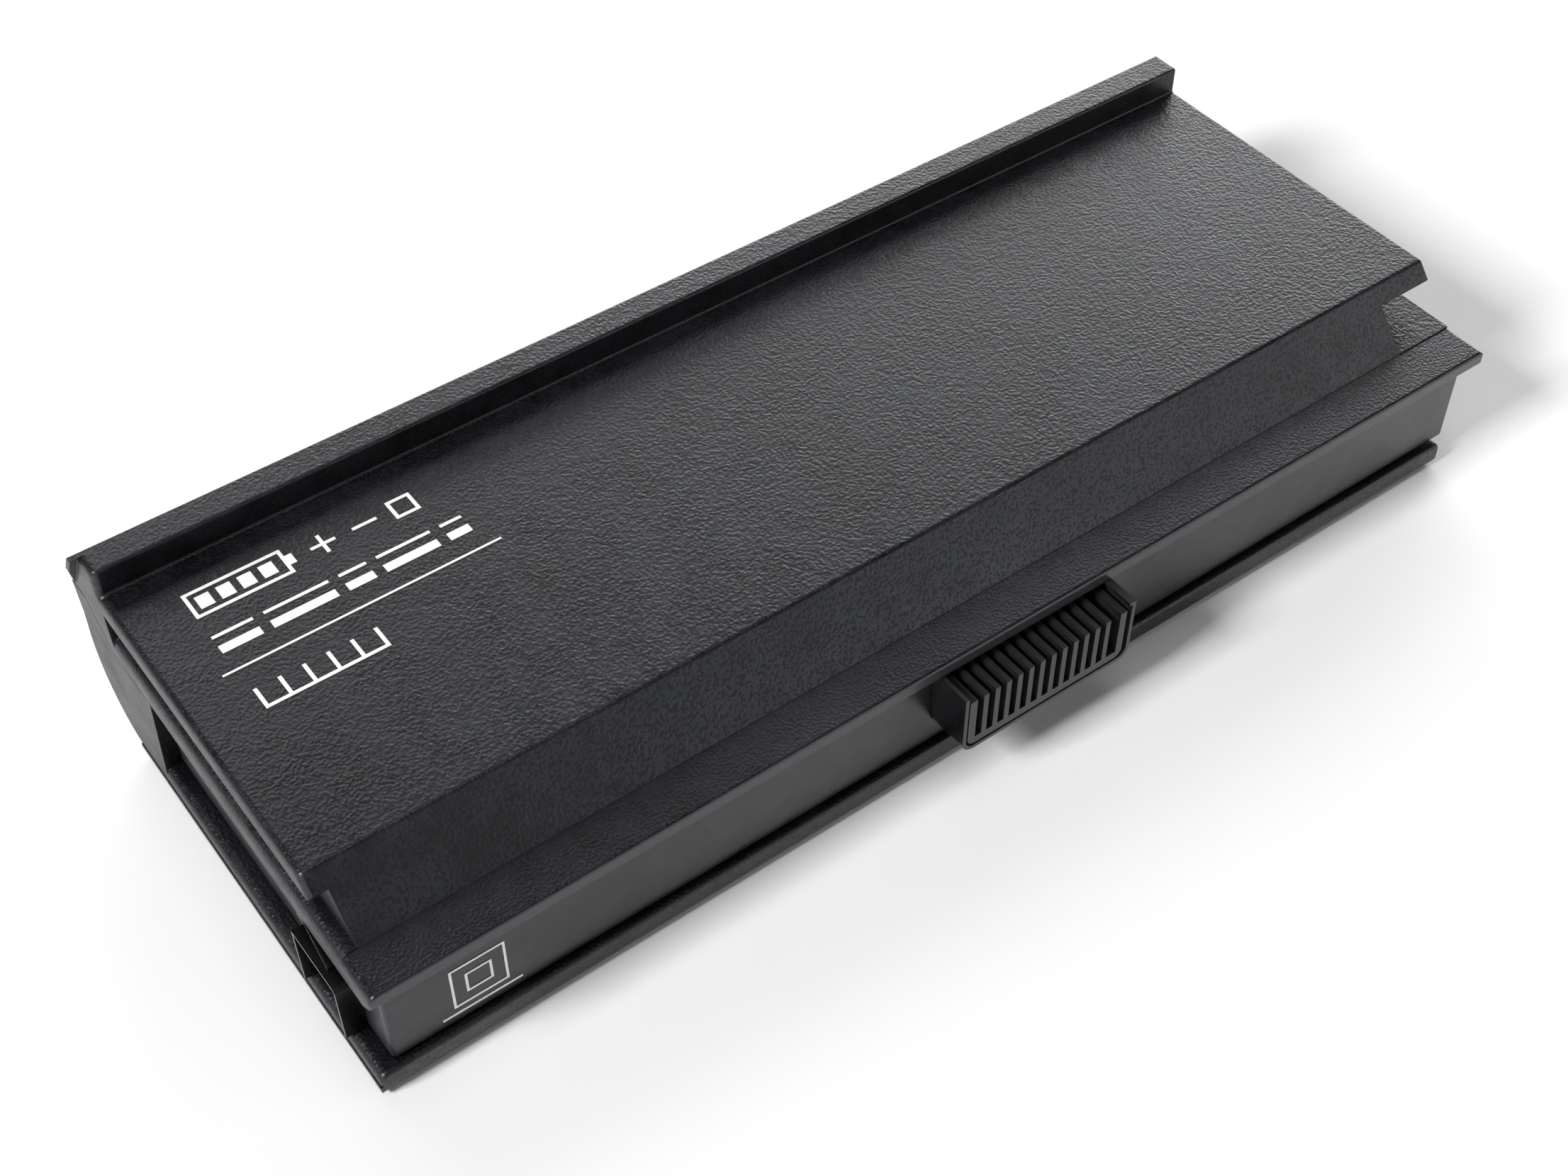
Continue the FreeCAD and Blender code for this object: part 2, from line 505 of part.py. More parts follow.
def latch_keeper():
    """Inverted U of thin sheet standing on the slab in the left end channel."""
    body = new_body("latch_keeper")
    profile = outline(body, "keeper_profile", "YZ_Plane", "x_keeper", [
        ("y_keeper_front", "z_base_top+keeper_gap"), ("y_keeper_front", "z_keeper-keeper_bevel"),
        ("y_keeper_front+keeper_bevel", "z_keeper"), ("y_keeper_rear", "z_keeper"),
        ("y_keeper_rear", "z_base_top+keeper_gap"), ("y_keeper_rear-keeper_sheet", "z_base_top+keeper_gap"),
        ("y_keeper_rear-keeper_sheet", "z_keeper-keeper_sheet"),
        ("y_keeper_front+keeper_bevel+0.1", "z_keeper-keeper_sheet"),
        ("y_keeper_front+keeper_sheet", "z_keeper-keeper_bevel-0.1"),
        ("y_keeper_front+keeper_sheet", "z_base_top+keeper_gap")])
    pad(body, profile, "x_box_left-x_keeper-keeper_gap")


def latch_finger():
    """Thin spring finger sloping from the flange's underside down over the keeper."""
    body = new_body("latch_finger")
    profile = outline(body, "finger_profile", "YZ_Plane", "x_finger_tip", [
        ("y_finger_root", "z_flange_bottom-finger_seat"), ("y_finger_tip", "z_finger_tip"),
        ("y_finger_tip+0.1", "z_finger_tip-0.12"),
        ("y_finger_root", "z_flange_bottom-finger_seat-finger_thick")])
    pad(body, profile, "finger_width")
    trim = outline(body, "finger_trim", "XY_Plane", "z_flange_bottom+1", [
        ("x_finger_tip-1", "y_finger_root+1"), ("x_left", "y_finger_root+1"),
        ("x_left", "y_finger_root-1"), ("x_finger_tip", "y_finger_tip"), ("x_finger_tip-1", "y_finger_tip")])
    cut(body, trim, "5")


def cell(label, row, end, turned):
    """One cylindrical cell with a crimped shoulder and a button; 'end' is its flat end."""
    body = new_body(label)
    profile = outline(body, label + "_profile", "XZ_Plane", "", [
        ("axis_clear", "axis_clear"), ("axis_clear", "cell_r"),
        ("cell_length-crimp_from_top-crimp_width", "cell_r"),
        ("cell_length-crimp_from_top-0.5*crimp_width", "cell_r-crimp_depth"),
        ("cell_length-crimp_from_top", "cell_r"), ("cell_length", "cell_r"), ("cell_length", "button_r"),
        ("cell_length+button_height", "button_r"), ("cell_length+button_height", "axis_clear")])
    turn = body.newObject("PartDesign::Revolution", label + "_turn")
    turn.Profile = profile
    turn.ReferenceAxis = (plane_of(body, "X_Axis"), [""])
    turn.Angle = 360
    profile.Visibility = False
    doc.recompute()
    angle = 180 if turned else 0
    set_place(body, (end, row, "row_z"), Rotation(Vector(0, 0, 1), angle))


def ring(label, row, start):
    """Paper ring round the button of a cell."""
    disc = rod(label + "_disc", (start, row, "row_z"), "ring_r", "ring_thick")
    hole = rod(label + "_hole", (start, row, "row_z"), "ring_hole_r", "ring_thick")
    washer = doc.addObject("Part::Cut", label)
    washer.Label = label
    washer.Base = disc
    washer.Tool = hole
    nodes.append(washer)


def end_strip(label, face, tail_end):
    """Nickel strip across the flat ends of one pair of cells, with a tail towards the board."""
    plate = box(label + "_plate", (face, "strip_y_front", "strip_z"),
                ("strip_thick", "strip_y_rear-strip_y_front", "strip_width"), keep=False)
    tail = box(label + "_tail", (face, "strip_y_front-strip_tail", "row_z-0.5*tail_width"),
               ("strip_thick", "strip_tail+0.2", "tail_width"), keep=False)
    tab = box(label + "_tab", (tail_end, "strip_y_front-strip_tail", "row_z-0.5*tail_width"),
              ("tab_reach", "strip_thick", "tail_width"), keep=False)
    joined(label, [plate, tail, tab])


def strip_centre():
    """Folded strip between the button ends, with a tab to the thermal fuse."""
    faces = {"left": "x_left_cells+cell_length+button_height",
             "right": "x_right_cells-cell_length-button_height-strip_thick"}
    plates = [box("bus_" + side, (face, "strip_y_front", "strip_z"),
                  ("strip_thick", "strip_y_rear-strip_y_front", "strip_width"), keep=False)
              for side, face in faces.items()]
    behind = "strip_y_front-strip_thick-bus_neck"
    fold = box("bus_fold", (faces["left"] + "-bus_tab", behind, "bus_fold_z"),
               ("bus_gap+bus_tab", "strip_thick", "bus_fold_height"), keep=False)
    necks = [box("bus_neck_" + side, (face, behind, "bus_fold_z"),
                 ("strip_thick", "bus_neck+strip_thick+0.1", "bus_fold_height"), keep=False)
             for side, face in faces.items()]
    joined("strip_centre", plates + necks + [fold])


def pad_block(label, start, thickness):
    """Insulating pad covering both rows of cells."""
    body = new_body(label)
    plan = outline(body, label + "_plan", "YZ_Plane", start, [
        ("pad_y_front", "pad_z"), ("pad_y_rear", "pad_z"), ("pad_y_rear", "pad_z+pad_height"),
        ("pad_y_front", "pad_z+pad_height")])
    pad(body, plan, thickness)
    soften(body, "pad_round",
           along("x", y="pad_y_rear", z="pad_z"), along("x", y="pad_y_rear", z="pad_z+pad_height"),
           along("x", y="pad_y_front", z="pad_z"), along("x", y="pad_y_front", z="pad_z+pad_height"))


def protection_board():
    """Board along the front bay with locating holes and a slot for the contact tails."""
    body = new_body("protection_board")
    plan = outline(body, "board_plan", "XY_Plane", "z_board_seat", [
        ("board_left", "board_front"), ("board_right", "board_front"),
        ("board_right", "board_rear"), ("board_left", "board_rear")])
    pad(body, plan, "board_thick")
    tails = outline(body, "tail_slot", "XY_Plane", "z_board_seat", [
        ("x_comb_left+0.6", "board_slot_front"), ("x_comb_right-1", "board_slot_front"),
        ("x_comb_right-1", "board_slot_rear"), ("x_comb_left+0.6", "board_slot_rear")])
    cut(body, tails, "board_thick+1", backwards=True)
    holes = circles(body, "board_holes", "XY_Plane", "z_board_seat", [
        (side + "post_x", depth, "board_hole_r") for side in ("", "-")
        for depth in ("post_y_front", "post_y_rear")])
    cut(body, holes, "board_thick+1", backwards=True)


def chip(label, centre_x, centre_y, length, width, height, legs):
    """Package with gull-wing legs on its front and rear sides."""
    top = "z_board_seat+board_thick"
    left = centre_x + "-0.5*" + length
    front = centre_y + "-0.5*" + width
    pieces = [box(label + "_case", (left, front, top + "+chip_lift"), (length, width, height), keep=False)]
    for index in range(legs):
        shift = index - 0.5 * (legs - 1)
        sign = "-" if shift < 0 else "+"
        across = "%s%s%g*leg_pitch-0.5*leg_width" % (centre_x, sign, abs(shift))
        for side, place in (("front", front + "-leg_reach"),
                            ("rear", centre_y + "+0.5*" + width + "-0.1")):
            pieces.append(box("%s_leg_%s_%d" % (label, side, index), (across, place, top + "+0.02"),
                              ("leg_width", "leg_reach+0.1", "leg_thick"), keep=False))
    return pieces


def board_parts():
    joined("controller_chip",
           chip("controller", "chip_x", "chip_y", "chip_side", "chip_side", "chip_height", 7))
    pair = []
    for index, place in enumerate(("fet_x-0.5*fet_pitch", "fet_x+0.5*fet_pitch")):
        pair += chip("fet_%d" % index, place, "fet_y", "fet_length", "fet_width", "fet_height", 4)
    joined("mosfet_pair", pair)
    top = "z_board_seat+board_thick+0.02"
    box("sense_resistor", ("sense_x", "sense_y", top), ("sense_length", "sense_width", "sense_height"))
    gathered("capacitor_row", [box("capacitor_%d" % index, ("cap_x+%d*cap_pitch" % index, "cap_y", top),
                                   ("cap_length", "cap_width", "cap_height"), keep=False)
                               for index in range(6)])


def thermal_fuse():
    rear = "strip_y_front-strip_thick-bus_neck"
    case = box("fuse_case", ("fuse_x", rear + "-fuse_thick-0.02", "fuse_z"),
               ("fuse_length", "fuse_thick", "fuse_height"), keep=False)
    tab = box("fuse_tab_plate", ("fuse_x-fuse_tab", rear + "-0.5*fuse_thick", "fuse_z+0.5"),
              ("fuse_tab+0.2", "fuse_tab_thick", "fuse_height-1"), keep=False)
    joined("thermal_fuse", [case, tab])


def thermistor():
    nodes.append(rod("thermistor", ("bead_x", "bead_y", "bead_z"), "bead_r", "bead_length"))


def negated(text):
    return text[1:] if text.startswith("-") else "-" + text


def lead(label, role, depth, radius, across, levels):
    """Round lead: level from its first end, one rounded corner, then straight down to its foot.

    'depth' is the lead's distance along the axis square to the bending plane.
    """
    body = new_body(label)
    in_xz = role == "XZ_Plane"
    path = new_sketch(body, label + "_path", role, negated(depth) if in_xz else depth)
    start, foot = [value(text) for text in across]
    level, low = [value(text) for text in levels]
    bend = value("lead_bend")
    turned_right = foot > start
    turn_x = foot - bend if turned_right else foot + bend
    hub = Vector(turn_x, level - bend, 0)
    quarter = (0, math.pi / 2) if turned_right else (math.pi / 2, math.pi)
    path.addGeometry(Part.LineSegment(Vector(start, level, 0), Vector(turn_x, level, 0)), False)
    path.addGeometry(Part.ArcOfCircle(Part.Circle(hub, Vector(0, 0, 1), bend), *quarter), False)
    path.addGeometry(Part.LineSegment(Vector(foot, level - bend, 0), Vector(foot, low, 0)), False)
    entry = 2 if turned_right else 1
    path.addConstraint(Sketcher.Constraint("Tangent", 0, 2, 1, entry))
    path.addConstraint(Sketcher.Constraint("Tangent", 1, 3 - entry, 2, 1))
    path.addConstraint(Sketcher.Constraint("Horizontal", 0))
    path.addConstraint(Sketcher.Constraint("Vertical", 2))
    hold(path, 0, 1, across[0], levels[0])
    hold(path, 2, 2, across[1], levels[1])
    hold_radius(path, 1, "lead_bend")
    if in_xz:
        section = circles(body, label + "_section", "YZ_Plane", across[0], [(depth, levels[0], radius)])
    else:
        section = circles(body, label + "_section", "XZ_Plane", negated(across[0]),
                          [(depth, levels[0], radius)])
    doc.recompute()
    pipe = body.newObject("PartDesign::AdditivePipe", label + "_pipe")
    pipe.Profile = section
    pipe.Spine = (path, ["Edge1", "Edge2", "Edge3"])
    pipe.Mode = "Standard"
    path.Visibility = False
    section.Visibility = False
    doc.recompute()


def leads():
    lead("lead_negative_left", "XZ_Plane", "lead_y", "lead_r",
         ("minus_left_end", "minus_left_pad"), ("lead_z", "lead_foot_z"))
    lead("lead_negative_right", "XZ_Plane", "lead_y", "lead_r",
         ("minus_right_end", "minus_right_pad"), ("lead_z", "lead_foot_z"))
    lead("lead_positive", "YZ_Plane", "plus_x", "lead_r",
         ("plus_end_y", "plus_pad_y"), ("lead_z", "lead_foot_z"))
    lead("lead_thermistor", "YZ_Plane", "bead_lead_x", "thin_lead_r",
         ("bead_y", "bead_pad_y"), ("bead_z", "lead_foot_z"))


def top_mark(label, left, front, length, depth):
    return box(label, (left, front, "z_plate_top"), (length, depth, "ink"), keep=False)


def frame_mark(label, left, front, length, depth):
    """Outline rectangle printed on the top plate."""
    return [top_mark(label + "_front", left, front, length, "ink_line"),
            top_mark(label + "_rear", left, front + "+" + depth + "-ink_line", length, "ink_line"),
            top_mark(label + "_left", left, front, "ink_line", depth),
            top_mark(label + "_right", left + "+" + length + "-ink_line", front, "ink_line", depth)]


def rating_print():
    """Generic white print on the top plate: a battery outline, bars and a rule."""
    pieces = frame_mark("case", "-67.6", "15.9", "11.2", "3.9")
    pieces.append(top_mark("nub", "-56.4", "17.1", "0.8", "1.5"))
    for index in range(4):
        pieces.append(top_mark("charge_%d" % index, "-66.6+%d*2.4" % index, "16.9", "1.6", "1.9"))
    pieces.append(top_mark("plus_across", "-53.7", "17.6", "2.9", "ink_line"))
    pieces.append(top_mark("plus_up", "-52.46", "16.36", "ink_line", "2.9"))
    pieces.append(top_mark("minus_across", "-48.8", "17.6", "2.9", "ink_line"))
    pieces += frame_mark("block", "-44.2", "16.3", "2.9", "2.9")
    for index, (left, length) in enumerate((("-67.6", "4.6"), ("-61.8", "7.4"), ("-53.2", "3.2"),
                                            ("-48.8", "6.4"), ("-41.2", "2.6"))):
        pieces.append(top_mark("row_bar_%d" % index, left, "10.2", length, "1.15"))
        pieces.append(top_mark("row_line_%d" % index, left, "12.5", length, "ink_line"))
    pieces.append(top_mark("rule", "-69.0", "7.35", "32.2", "ink_thin"))
    for index in range(6):
        pieces.append(top_mark("tick_%d" % index, "-67.4+%g*2.7" % index, "1.2", "ink_line", "3.0"))
    pieces.append(top_mark("tick_base", "-67.4", "1.2", "13.92", "ink_line"))
    joined("rating_print", pieces)


def symbol_print():
    """Generic white mark on the front wall: a square in a square over a base line."""
    pieces = []
    front = "y_wall-ink"

    def bar(label, left, low, length, height):
        pieces.append(box(label, (left, front, low), (length, "ink", height), keep=False))

    def square(label, left, low, side):
        bar(label + "_low", left, low, side, "ink_thin")
        bar(label + "_high", left, low + "+" + side + "-ink_thin", side, "ink_thin")
        bar(label + "_left", left, low, "ink_thin", side)
        bar(label + "_right", left + "+" + side + "-ink_thin", low, "ink_thin", side)

    square("outer", "-66.0", "6.2", "6.2")
    square("inner", "-64.4", "7.8", "3.0")
    bar("base_line", "-67.4", "5.1", "9.0", "ink_thin")
    joined("symbol_print", pieces)


upper_shell()
front_frame()
lower_shell()
bottom_skin()
connector_shroud()
connector_comb()
contact_blades()
latch_keeper()
latch_finger()
for place, row in (("rear", "rear_row_y"), ("front", "front_row_y")):
    cell("cell_%s_left" % place, row, "x_left_cells", False)
    cell("cell_%s_right" % place, row, "x_right_cells", True)
    ring("ring_%s_left" % place, row, "x_left_cells+cell_length")
    ring("ring_%s_right" % place, row, "x_right_cells-cell_length-ring_thick")
end_strip("strip_left", "x_left_cells-strip_thick", "x_left_cells-strip_thick")
end_strip("strip_right", "x_right_cells", "x_right_cells+strip_thick-tab_reach")
strip_centre()
pad_block("end_pad_left", "x_left_cells-strip_thick-pad_gap-pad_thick", "pad_thick")
pad_block("end_pad_right", "x_right_cells+strip_thick+pad_gap", "pad_thick")
pad_block("centre_pad", "x_left_cells+cell_length+button_height+strip_thick+pad_gap",
          "bus_gap-2*strip_thick-2*pad_gap")
protection_board()
board_parts()
thermal_fuse()
thermistor()
leads()
rating_print()
symbol_print()
doc.recompute()

faults = []
for item in doc.Objects:
    if any(word in item.State for word in ("Invalid", "Error")):
        faults.append("%s is in error" % item.Label)
for node in nodes:
    if node.Shape.isNull() or not node.Shape.isValid() or not node.Shape.Solids:
        faults.append("%s has no valid solid" % node.Label)
if faults:
    raise RuntimeError("; ".join(faults))

os.makedirs("parts", exist_ok=True)
for node in nodes:
    node.Shape.exportStep("parts/%s.step" % node.Label)
    print("%-22s %9.1f mm3" % (node.Label, node.Shape.Volume))
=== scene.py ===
import json
import math

import bpy
from mathutils import Matrix, Vector

# Looks, studio and camera of a notebook-type battery pack, in metres. Every shape is the CAD's own.

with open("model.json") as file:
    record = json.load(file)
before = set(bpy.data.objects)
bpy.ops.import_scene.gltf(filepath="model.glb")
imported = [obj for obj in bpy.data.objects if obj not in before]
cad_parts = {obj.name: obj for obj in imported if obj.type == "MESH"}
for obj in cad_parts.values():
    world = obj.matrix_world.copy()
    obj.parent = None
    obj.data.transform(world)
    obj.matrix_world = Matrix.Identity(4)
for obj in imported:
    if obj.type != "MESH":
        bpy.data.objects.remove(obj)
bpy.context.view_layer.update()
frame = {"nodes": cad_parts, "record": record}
MM = 0.001

# ---------------------------------------------------------------- numbers of the black plastic

BLACK = (0.001, 0.001, 0.0015)
COOL_TINT = (0.955, 0.975, 1.0, 1.0)    # of the gloss
SPECULAR = 0.5

# Noise scales per metre, from broad patches of tone to the finest specks.
BLOTCH_PER_M, GLOSS_PER_M, MOTTLE_PER_M = 60, 240, 420
TONE_SPECK_PER_M, SPECK_PER_M = 6000, 9000
SPECK_DEPTH = 0.012 * MM
NOISE_SPAN = (0.3, 0.7)                 # most noise values lie here
MOTTLE_SPAN = (0.55, 1.45)              # most sums of two noises lie here
SPECK_TONES = (0.6, 1.4)                # multipliers on the tone

# Shelter is 1 in the open and 0 deep in a gap; it sets the painted shade in gaps and the dust
# roughness.
SHELTER_REACH = 4 * MM                  # a surface nearer than this counts as shelter
GAP_PAINTED_SHADE = (0.2, 0.8)                   # shelter at which the painted shade makes a gap black, and where it ends
DUSTY_GAP = (0.35, 0.75)                # the same for dust

# Leather grain. A "flat" looks straight up; a "slope" is any other grained face.
PIT_PER_M = 2850.0
GRAIN_DEPTH = 0.034 * MM
SLOPE_RELIEF = 0.36                     # depth on slopes, as a share of that on flats
FLAT_PAINTED_SHADE, SLOPE_PAINTED_LIGHT = 0.88, 1.6       # multipliers on the mottled tone: painted shade on flats, painted light on slopes
FLAT_PIT, SLOPE_PIT = 0.8, 0.0          # tone left in a pit, as a share of the tone round it: painted shade in the pits
PIT_ROUGHNESS = 0.12
RELIEF_SPAN = (0.2, 0.76)               # noise values of the pits' floor and the top
PIT_SPAN = (0.38, 0.48)                 # noise values inside and outside a pit

# Faces square to the object's ends are plain, and painted lighter: painted light for the key light
# on the ends.
END_DULL = 0.12                         # added roughness
END_PAINTED_LIGHT = 0.8                         # place between the dark and the light tone: painted light on the end faces

# The front edge of the flange strip is a band painted paler: a painted sheen for its tilted face
# catching the light.
BAND_FOOT, BAND_FADE = 15.6 * MM, 0.05 * MM
PAINTED_SHEEN_GREY = (0.032, 0.033, 0.036)

# Masks by the way a face looks: the part of its normal along an axis where the mask is 0 and 1.
END_FACE = (0.95, 0.995)                # X, either way
LOOKS_UP = (0.2, 0.4)                   # Z
FLAT_TOP = (0.72, 0.95)                 # Z
DUSTY_TOP = (0.6, 0.9)                  # Z
NOT_FRONT = (-0.9, -0.6)                # Y

# Inner parts.
BRUSH_PER_M = (120.0, 4000.0, 4000.0)   # brushed lines run along X
BRUSH_DEPTH = 0.01 * MM
INNER_PER_M, INNER_DEPTH, INNER_EDGE = 900.0, 0.02 * MM, 0.1 * MM
INNER_BUMP = 0.3                        # strength of both reliefs

SHADER_SAMPLES = 6                      # of the bevel and occlusion nodes
MIX_FIRST, MIX_SECOND, MIX_RESULT = 6, 7, 2     # places of the colour sockets on a Mix node


# ---------------------------------------------------------------- node helpers

class Nodes:
    """Short way to build one material's node tree."""

    def __init__(self, name):
        self.material = bpy.data.materials.new(name)
        self.material.use_nodes = True
        self.tree = self.material.node_tree
        self.shader = self.tree.nodes["Principled BSDF"]
        self.place = self.tree.nodes.new("ShaderNodeTexCoord").outputs["Object"]

    def add(self, kind, **settings):
        node = self.tree.nodes.new("ShaderNode" + kind)
        for name, setting in settings.items():
            setattr(node, name, setting)
        return node

    def feed(self, socket, content):
        """Link a node's output to the socket, or set the socket to a value."""
        if isinstance(content, bpy.types.NodeSocket):
            self.tree.links.new(content, socket)
        else:
            socket.default_value = content

    def put(self, node, **values):
        for name, content in values.items():
            self.feed(node.inputs[name.replace("_", " ")], content)

    def noise(self, per_m, detail=3.0, rough=0.5, place=None):
        node = self.add("TexNoise")
        self.put(node, Vector=place or self.place, Scale=per_m, Detail=detail, Roughness=rough)
        return node.outputs["Fac"]

    def ramp(self, source, low, high, out_low=0.0, out_high=1.0):
        """Smooth step from out_low to out_high as the source goes from low to high."""
        node = self.add("MapRange", clamp=True, interpolation_type="SMOOTHSTEP")
        self.put(node, From_Min=low, From_Max=high, To_Min=out_low, To_Max=out_high, Value=source)
        return node.outputs["Result"]

    def fade(self, mask, at_none, at_full):
        return self.ramp(mask, 0.0, 1.0, at_none, at_full)

    def math(self, operation, first, second=0.0):
        node = self.add("Math", operation=operation)
        self.feed(node.inputs[0], first)
        self.feed(node.inputs[1], second)
        return node.outputs[0]

    def times(self, first, second):
        return self.math("MULTIPLY", first, second)

    def plus(self, first, second):
        return self.math("ADD", first, second)

    def mix(self, factor, first, second):
        """Blend of two colours, each a node's output or red, green and blue."""
        node = self.add("Mix", data_type="RGBA")
        self.feed(node.inputs["Factor"], factor)
        for place, colour in ((MIX_FIRST, first), (MIX_SECOND, second)):
            is_linked = isinstance(colour, bpy.types.NodeSocket)
            self.feed(node.inputs[place], colour if is_linked else (*colour, 1.0))
        return node.outputs[MIX_RESULT]

    def bump(self, height, strength, distance, under=None):
        node = self.add("Bump")
        self.put(node, Height=height, Strength=strength, Distance=distance)
        if under is not None:
            self.feed(node.inputs["Normal"], under)
        return node.outputs["Normal"]

    def soft_edge(self, radius):
        node = self.add("Bevel", samples=SHADER_SAMPLES)
        self.put(node, Radius=radius)
        return node.outputs["Normal"]

    def shelter(self, reach):
        """1 in the open, towards 0 deep in a gap."""
        node = self.add("AmbientOcclusion", samples=SHADER_SAMPLES)
        self.put(node, Distance=reach)
        return node.outputs["AO"]

    def along(self, vector, axis):
        apart = self.add("SeparateXYZ")
        self.feed(apart.inputs[0], vector)
        return apart.outputs[axis]

    def facing(self, axis, low, high):
        """0 to 1 as a face turns towards the plus end of an axis."""
        return self.ramp(self.along(self.add("TexCoord").outputs["Normal"], axis), low, high)

    def facing_end(self, low, high):
        """0 to 1 as a face turns towards either end of the object."""
        sideways = self.along(self.add("TexCoord").outputs["Normal"], "X")
        return self.ramp(self.math("ABSOLUTE", sideways), low, high)


# ---------------------------------------------------------------- materials

def leather(n, grain, everywhere, shade, rough, surface):
    """Put pits into a shade, a roughness and a surface, and keep the end faces plain.

    The pits, flats and slopes get painted shade and light, and the end faces are painted lighter.
    """
    end = n.facing_end(*END_FACE)
    where = n.fade(end, 1.0, 0.0) if everywhere else n.facing("Z", *LOOKS_UP)
    flat = n.facing("Z", *FLAT_TOP)
    hide = n.noise(PIT_PER_M, 0.4, 0.4)
    relief = n.times(where, n.fade(flat, SLOPE_RELIEF * grain, grain))
    surface = n.bump(n.ramp(hide, *RELIEF_SPAN), relief, GRAIN_DEPTH, surface)
    pits = n.times(n.ramp(hide, *PIT_SPAN, 1.0, 0.0), where)
    # Painted shade in the pits: their tone drops, fully on slopes.
    pit_painted_shade = n.times(pits, n.fade(flat, 1.0 - SLOPE_PIT, 1.0 - FLAT_PIT))
    # Painted light and shade by facing: slopes are lighter, flats darker.
    shade = n.times(shade, n.fade(flat, SLOPE_PAINTED_LIGHT, FLAT_PAINTED_SHADE))
    shade = n.times(shade, n.math("SUBTRACT", 1.0, pit_painted_shade))
    # Painted light: the end faces get one lighter tone, for the key light falling on the ends.
    shade = n.plus(n.times(shade, n.fade(end, 1.0, 0.0)), n.times(end, END_PAINTED_LIGHT))
    rough = n.plus(n.plus(rough, n.times(pits, PIT_ROUGHNESS)), n.times(end, END_DULL))
    return shade, rough, surface


def painted_sheen_band(n, foot):
    """Mask of the painted sheen: 1 on faces that look to the front, above a height."""
    above = n.ramp(n.along(n.place, "Z"), foot - BAND_FADE, foot)
    return n.times(above, n.fade(n.facing("Y", *NOT_FRONT), 1.0, 0.0))


def moulded(name, dark, light, grain=0.0, gloss=(0.28, 0.38), edge=0.12 * MM, fine=0.3,
            everywhere=False, dusty=0.0, band_foot=None):
    """Black moulded plastic, mottled, with painted shade in the gaps, with edges rounded in the
    shading.

    grain: depth of the leather grain as a share of GRAIN_DEPTH. It lies on faces that look up,
    or, with everywhere, on all but the end faces. gloss: least and greatest roughness. fine:
    strength of the finest specks. dusty: roughness added in gaps and on tops. band_foot: height
    above which the front is painted paler, a painted sheen.
    """
    n = Nodes(name)
    free_of_shade_and_dust = n.shelter(SHELTER_REACH)
    mottled = n.plus(n.noise(BLOTCH_PER_M, 2), n.noise(MOTTLE_PER_M, 4, 0.6))
    specks = n.ramp(n.noise(TONE_SPECK_PER_M, 1), *NOISE_SPAN, *SPECK_TONES)
    shade = n.times(n.ramp(mottled, *MOTTLE_SPAN), specks)
    rough = n.ramp(n.noise(GLOSS_PER_M, 5, 0.65), *NOISE_SPAN, *gloss)
    surface = n.soft_edge(edge)
    if grain:
        shade, rough, surface = leather(n, grain, everywhere, shade, rough, surface)
    if dusty:
        rough = n.plus(rough, n.ramp(free_of_shade_and_dust, *DUSTY_GAP, dusty, 0.0))
        rough = n.plus(rough, n.times(n.facing("Z", *DUSTY_TOP), dusty))
    surface = n.bump(n.noise(SPECK_PER_M, 2, 0.6), fine, SPECK_DEPTH, surface)
    # Painted shade: the colour goes to the dark tone deep in gaps, where shade falls.
    colour = n.mix(n.times(shade, n.ramp(free_of_shade_and_dust, *GAP_PAINTED_SHADE)), dark, light)
    if band_foot:
        # Painted sheen: faces looking to the front above band_foot are painted paler.
        colour = n.mix(painted_sheen_band(n, band_foot), colour, PAINTED_SHEEN_GREY)
    n.put(n.shader, Base_Color=colour, Roughness=rough, Normal=surface,
          Specular_IOR_Level=SPECULAR, Specular_Tint=COOL_TINT)
    return n.material


def metal(name, dark, light, gloss):
    """Metal brushed along X."""
    n = Nodes(name)
    stretched = n.add("Mapping")
    n.put(stretched, Vector=n.place, Scale=BRUSH_PER_M)
    lines = n.noise(1.0, 4, 0.6, stretched.outputs["Vector"])
    n.put(n.shader, Base_Color=n.mix(n.ramp(lines, *NOISE_SPAN), dark, light), Metallic=1.0,
          Roughness=n.ramp(lines, 0.2, 0.8, *gloss), Normal=n.bump(lines, INNER_BUMP, BRUSH_DEPTH))
    return n.material


def plain(name, dark, light, gloss):
    """Small inner parts: mottled colour, uneven gloss and a fine surface."""
    n = Nodes(name)
    mottled = n.noise(INNER_PER_M, 4, 0.6)
    relief = n.noise(4 * INNER_PER_M, 2)
    n.put(n.shader, Base_Color=n.mix(n.ramp(mottled, 0.35, 0.65), dark, light),
          Roughness=n.ramp(mottled, *NOISE_SPAN, *gloss),
          Normal=n.bump(relief, INNER_BUMP, INNER_DEPTH, n.soft_edge(INNER_EDGE)))
    return n.material


